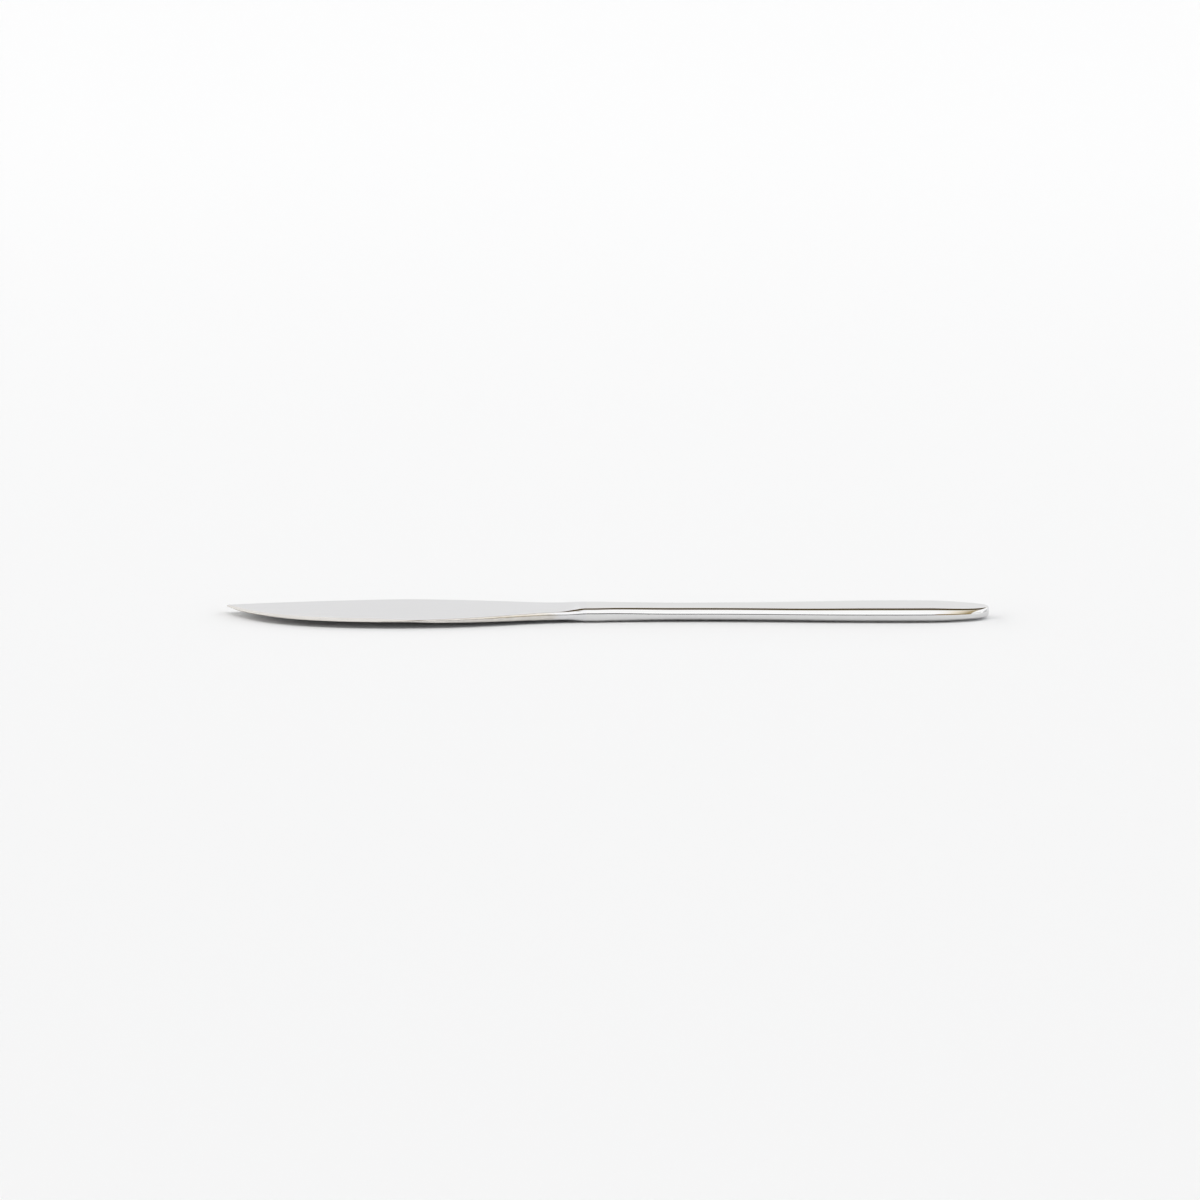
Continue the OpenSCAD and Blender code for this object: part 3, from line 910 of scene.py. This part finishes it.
def bedding_cement(tint):
    """Matt cement, cast in place, with pores."""
    material, tree, shader, position = new_material("bedding_cement")
    grain = add_node(tree, "ShaderNodeTexNoise", {"Vector": position, "Scale": GRAIN_SCALE, "Detail": 6.0})
    pores = add_node(tree, "ShaderNodeTexVoronoi", {"Vector": position, "Scale": PORE_SCALE})
    dark = [channel * CEMENT_DARK for channel in tint]
    colour_out = blend_colours(tree, grain.outputs["Fac"], dark, tint)
    relief = {"Strength": PORE_STRENGTH, "Distance": PORE_DEPTH, "Height": pores.outputs["Distance"]}
    bump = add_node(tree, "ShaderNodeBump", relief)
    rough = ramp_between(tree, grain.outputs["Fac"], *GRAIN_LEVELS, *CEMENT_ROUGH)
    tree.links.new(colour_out, shader.inputs["Base Color"])
    tree.links.new(rough, shader.inputs["Roughness"])
    tree.links.new(bump.outputs["Normal"], shader.inputs["Normal"])
    return material


class TABLE_KNIFE_OT_blade(bpy.types.Operator):
    """Draws out the blade with its shoulder and tang"""

    bl_idname = "table_knife.blade"
    bl_label = "Draw Out Blade"
    bl_options = {"REGISTER", "UNDO"}

    def execute(self, context):
        settings = context.scene.table_knife
        form = KnifeForm(settings)
        rings = [ring(x, whole(form.blade_half(x))) for x in form.blade_stations()]
        rings += [ring(x, whole(form.tang_half(x))) for x in (0, form.blade.tang_length)]
        blade = draw_bar("knife_blade", rings)
        grind = blade.data.attributes.new("grind", "FLOAT", "POINT")
        grind.data.foreach_set("value", [form.grind(vert.co) for vert in blade.data.vertices])
        finish = settings.finish
        steel = polished_steel(
            "blade_steel", finish.blade_colour, finish.blade_roughness, finish.face_roughness, BLADE_LINES
        )
        grind_edge(steel, finish.grind_and_sheen_colour, finish.grind_roughness)
        finish_piece(blade, steel, "blade")
        return {"FINISHED"}


class TABLE_KNIFE_OT_shells(bpy.types.Operator):
    """Presses the two half shells of the hollow handle"""

    bl_idname = "table_knife.shells"
    bl_label = "Press Half Shells"
    bl_options = {"REGISTER", "UNDO"}

    def execute(self, context):
        settings = context.scene.table_knife
        form = KnifeForm(settings)
        finish = settings.finish
        steel = handle_polish("handle_steel", finish.handle_colour, finish)
        for node, side in (("upper_shell", 1), ("lower_shell", -1)):
            rings = [
                ring(x, [(y, side * z) for y, z in form.grip_half(x, 0, form.seam_z)])
                for x in form.handle_stations()
            ]
            shell = draw_bar("handle_" + node, rings)
            cut_cavity(shell, form)
            finish_piece(shell, steel, node)
        return {"FINISHED"}


class TABLE_KNIFE_OT_seam(bpy.types.Operator):
    """Fills the seam between the half shells and grinds it flush"""

    bl_idname = "table_knife.seam"
    bl_label = "Fill Seam"
    bl_options = {"REGISTER", "UNDO"}

    def execute(self, context):
        settings = context.scene.table_knife
        form = KnifeForm(settings)
        rings = []
        for x in form.handle_stations():
            width = form.half_width(x)
            rings.append(ring(x, whole([(-width, form.seam_z), (width, form.seam_z)])))
        strip = draw_bar("seam_filler", rings)
        cut_cavity(strip, form)
        finish = settings.finish
        steel = handle_polish("seam_filler", finish.filler_colour, finish)
        finish_piece(strip, steel, "seam_braze")
        return {"FINISHED"}


class TABLE_KNIFE_OT_solder(bpy.types.Operator):
    """Runs the ring of solder between the shoulder and the shells"""

    bl_idname = "table_knife.solder"
    bl_label = "Run Neck Solder"
    bl_options = {"REGISTER", "UNDO"}

    def execute(self, context):
        settings = context.scene.table_knife
        form = KnifeForm(settings)
        section = whole(form.grip_half(0, 0, form.seam_z))
        solder = draw_bar("neck_solder_ring", [ring(0, section), ring(form.handle.solder, section)])
        cut_cavity(solder, form)
        finish = settings.finish
        metal = handle_polish("neck_solder", finish.solder_colour, finish)
        finish_piece(solder, metal, "neck_solder")
        return {"FINISHED"}


class TABLE_KNIFE_OT_bedding(bpy.types.Operator):
    """Gives the cement round the tang its material"""

    bl_idname = "table_knife.bedding"
    bl_label = "Cast Bedding"
    bl_options = {"REGISTER", "UNDO"}

    def execute(self, context):
        cement = bedding_cement(context.scene.table_knife.finish.cement_colour)
        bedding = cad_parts["tang_bedding"]
        bedding.data.materials.clear()
        bedding.data.materials.append(cement)
        return {"FINISHED"}


def band_ramp(tree, place, bands):
    """Colours along a share from 0 to 1, with straight changes between them."""
    ramp = add_node(tree, "ShaderNodeValToRGB", {"Fac": place})
    stops = ramp.color_ramp.elements
    stops.remove(stops[1])
    stops[0].position, tint = bands[0]
    stops[0].color = (*tint, 1)
    for position, tint in bands[1:]:
        stops.new(position).color = (*tint, 1)
    return ramp.outputs["Color"]


def room_bands(stage):
    """The front of the room by the angle to the right, in degrees: at the foot, halfway and overhead."""
    side = (stage.side_light, stage.side_light, stage.side_light)
    left = (stage.dim_room, stage.dim_room, stage.dim_room)
    window = (stage.window, stage.window, stage.window)
    return (
        (-90, side),
        (-64, side),
        (-50, left),
        (-7, left),
        (-5, (stage.horizon, stage.window, stage.window)),
        (11, (stage.horizon, stage.window, stage.window)),
        (13, (stage.gold_low, stage.window, stage.window)),
        (19.5, (stage.gold_low, stage.cream, stage.cream)),
        (29, (stage.gold_low, stage.gold, stage.gold)),
        (33.5, (stage.gold_low, stage.gold, stage.gold)),
        (35, window),
        (58, window),
        (66, side),
        (90, side),
    )


def fill_bands(stage):
    """Plain light on the table by the arc from the front over the top to the back, in degrees."""
    return (
        (0, stage.fill_low),
        (22, stage.fill_low),
        (32, stage.fill_front),
        (60, stage.fill_front),
        (74, stage.fill_top),
        (95, stage.fill_top),
        (100, stage.fill_behind),
        (124, stage.fill_behind),
        (132, stage.fill_back),
        (180, stage.fill_back),
    )


def light_room(tree, stage, elevation, arc, aside):
    """Walls, windows, ceiling and backdrop that the metal mirrors."""
    turn = ramp_linear(tree, aside, -90.0, 90.0)
    foot, halfway, overhead = (
        band_ramp(tree, turn, [((place + 90) / 180, tints[level]) for place, tints in room_bands(stage)])
        for level in range(3)
    )
    foot_rise = ramp_between(tree, aside, *FOOT_STEP, 0.0, FOOT_RISE)
    above_foot = calculate(tree, "SUBTRACT", elevation, foot_rise)
    room = blend_colours(tree, ramp_between(tree, above_foot, *FOOT_TOP), foot, halfway)
    room = blend_colours(tree, ramp_between(tree, arc, *OVERHEAD_ARC), room, overhead)
    across = within(tree, aside, SCREEN_LEFT, SCREEN_RIGHT)
    height = within(tree, elevation, SCREEN_FOOT, SCREEN_TOP)
    room = blend_colours(tree, calculate(tree, "MULTIPLY", across, height), room, stage.screen)
    inside = within(tree, aside, CEILING_LEFT, CEILING_RIGHT)
    at_ceiling = calculate(tree, "MULTIPLY", inside, ramp_between(tree, arc, *CEILING_ARC))
    room = blend_colours(tree, at_ceiling, room, stage.ceiling)
    at_beam = calculate(tree, "MULTIPLY", inside, ramp_between(tree, arc, *BEAM_ARC))
    room = blend_colours(tree, at_beam, room, stage.beam)
    height = ramp_between(tree, elevation, *BACKDROP_FADE)
    backdrop = blend_colours(tree, height, stage.backdrop_low, stage.backdrop_high)
    return blend_colours(tree, ramp_between(tree, arc, *BACKDROP_ARC), room, backdrop)


def light_studio(stage):
    """World: plain light on the table, a room in the metal's reflections and white for the camera."""
    world = bpy.data.worlds.new("studio")
    world.use_nodes = True
    tree = world.node_tree
    tree.nodes.clear()
    direction = add_node(tree, "ShaderNodeTexCoord").outputs["Generated"]
    split = add_node(tree, "ShaderNodeSeparateXYZ", {"Vector": direction})
    right, up = split.outputs["X"], split.outputs["Z"]
    front = calculate(tree, "MULTIPLY", split.outputs["Y"], -1.0)
    elevation = calculate(tree, "DEGREES", calculate(tree, "ARCSINE", up))
    arc = calculate(tree, "ABSOLUTE", calculate(tree, "DEGREES", calculate(tree, "ARCTAN2", up, front)))
    aside = calculate(tree, "DEGREES", calculate(tree, "ARCSINE", right))

    bands = [(place / 180, tint) for place, tint in fill_bands(stage)]
    fill = band_ramp(tree, ramp_linear(tree, arc, 0.0, 180.0), bands)
    low = within(tree, elevation, LOW_FOOT, LOW_TOP)
    at_left = calculate(tree, "MULTIPLY", low, ramp_between(tree, aside, *LOW_LEFT, 1.0, 0.0))
    at_right = calculate(tree, "MULTIPLY", low, ramp_between(tree, aside, *LOW_RIGHT))
    fill = blend_colours(tree, at_left, fill, stage.fill_left)
    fill = blend_colours(tree, at_right, fill, stage.fill_right)
    room = light_room(tree, stage, elevation, arc, aside)
    path = add_node(tree, "ShaderNodeLightPath").outputs
    mirrored = calculate(tree, "MAXIMUM", path["Is Glossy Ray"], path["Is Transmission Ray"])
    light = blend_colours(tree, mirrored, fill, room)
    shown = blend_colours(tree, path["Is Camera Ray"], light, (1.0, 1.0, 1.0))
    background = add_node(tree, "ShaderNodeBackground", {"Color": shown, "Strength": 1.0})
    output = add_node(tree, "ShaderNodeOutputWorld")
    tree.links.new(background.outputs["Background"], output.inputs["Surface"])
    bpy.context.scene.world = world


def lay_table(stage):
    """A matt pale table top, a little lighter towards the back, with painted shade under the knife: there
    the table throws back a dark colour in place of its own, which deepens the knife's shadow.
    """
    deselect_all()
    height = CAD_BOX[0][2] - stage.table_gap
    bpy.ops.mesh.primitive_plane_add(size=stage.table_size, location=(0, 0, height))
    table = bpy.context.object
    table.name = "table_top"
    bpy.ops.object.transform_apply(location=True, rotation=True, scale=True)
    material, tree, shader, position = new_material("table_paper")
    split = add_node(tree, "ShaderNodeSeparateXYZ", {"Vector": position})
    backward = ramp_between(tree, split.outputs["Y"], *TABLE_FADE)
    paper = blend_colours(tree, backward, stage.table_near, stage.table_far)
    from_middle = calculate(tree, "ABSOLUTE", split.outputs["X"])
    # Painted shade: under the knife, light that has already bounced finds the table dark, which deepens the
    # knife's shadow.
    start, end = (CAD_BOX[1][0] * share for share in SHADE_FADE)
    shade_under_knife = ramp_between(tree, from_middle, start, end, 1.0, 0.0)
    bounces = add_node(tree, "ShaderNodeLightPath").outputs["Diffuse Depth"]
    painted_shade = calculate(tree, "MULTIPLY", shade_under_knife, calculate(tree, "MINIMUM", bounces, 1.0))
    paper = blend_colours(tree, painted_shade, paper, stage.table_shade_bounce)
    tree.links.new(paper, shader.inputs["Base Color"])
    shader.inputs["Roughness"].default_value = 1.0
    shader.inputs["Specular IOR Level"].default_value = 0.0
    table.data.materials.append(material)


def set_camera(stage):
    """The camera, which looks down at the knife from in front."""
    camera = bpy.data.cameras.new("camera")
    camera.lens = stage.camera_lens
    holder = bpy.data.objects.new("camera", camera)
    bpy.context.scene.collection.objects.link(holder)
    holder.rotation_euler = (QUARTER - stage.camera_elevation, 0, stage.camera_turn)
    backward = Vector((0, 0, stage.camera_distance))
    backward.rotate(Euler(holder.rotation_euler))
    holder.location = Vector(stage.camera_aim) + backward
    bpy.context.scene.camera = holder


class TABLE_KNIFE_OT_stage(bpy.types.Operator):
    """Lays the table, lights it and sets the camera"""

    bl_idname = "table_knife.stage"
    bl_label = "Set Stage"
    bl_options = {"REGISTER", "UNDO"}

    def execute(self, context):
        stage = context.scene.table_knife.stage
        lay_table(stage)
        light_studio(stage)
        set_camera(stage)
        context.scene.view_settings.view_transform = "Standard"
        return {"FINISHED"}


STEPS = (
    TABLE_KNIFE_OT_blade,
    TABLE_KNIFE_OT_shells,
    TABLE_KNIFE_OT_seam,
    TABLE_KNIFE_OT_solder,
    TABLE_KNIFE_OT_bedding,
    TABLE_KNIFE_OT_stage,
)


class TABLE_KNIFE_PT_steps(bpy.types.Panel):
    """Sizes, finishes and steps of the table knife"""

    bl_idname = "TABLE_KNIFE_PT_steps"
    bl_label = "Table Knife"
    bl_space_type = "VIEW_3D"
    bl_region_type = "UI"
    bl_category = "Table Knife"

    def draw(self, context):
        settings = context.scene.table_knife
        for name in ("blade", "handle", "finish", "stage"):
            group = getattr(settings, name)
            box = self.layout.box()
            box.label(text=name.capitalize())
            for key in group.__annotations__:
                box.prop(group, key)
        for step in STEPS:
            self.layout.operator(step.bl_idname)


GROUPS = (BladeSizes, HandleSizes, FinishSettings, StageSettings, TableKnifeSettings)
CLASSES = (*GROUPS, *STEPS, TABLE_KNIFE_PT_steps)


def register():
    """Registers the classes and puts the settings on the scene."""
    for item in CLASSES:
        bpy.utils.register_class(item)
    bpy.types.Scene.table_knife = PointerProperty(type=TableKnifeSettings)


def unregister():
    """Takes the settings and the classes away again."""
    del bpy.types.Scene.table_knife
    for item in reversed(CLASSES):
        bpy.utils.unregister_class(item)


def main():
    """Builds the knife and its stage."""
    register()
    bpy.ops.table_knife.blade()
    bpy.ops.table_knife.shells()
    bpy.ops.table_knife.seam()
    bpy.ops.table_knife.solder()
    bpy.ops.table_knife.bedding()
    bpy.ops.table_knife.stage()


if __name__ == "__main__":
    main()
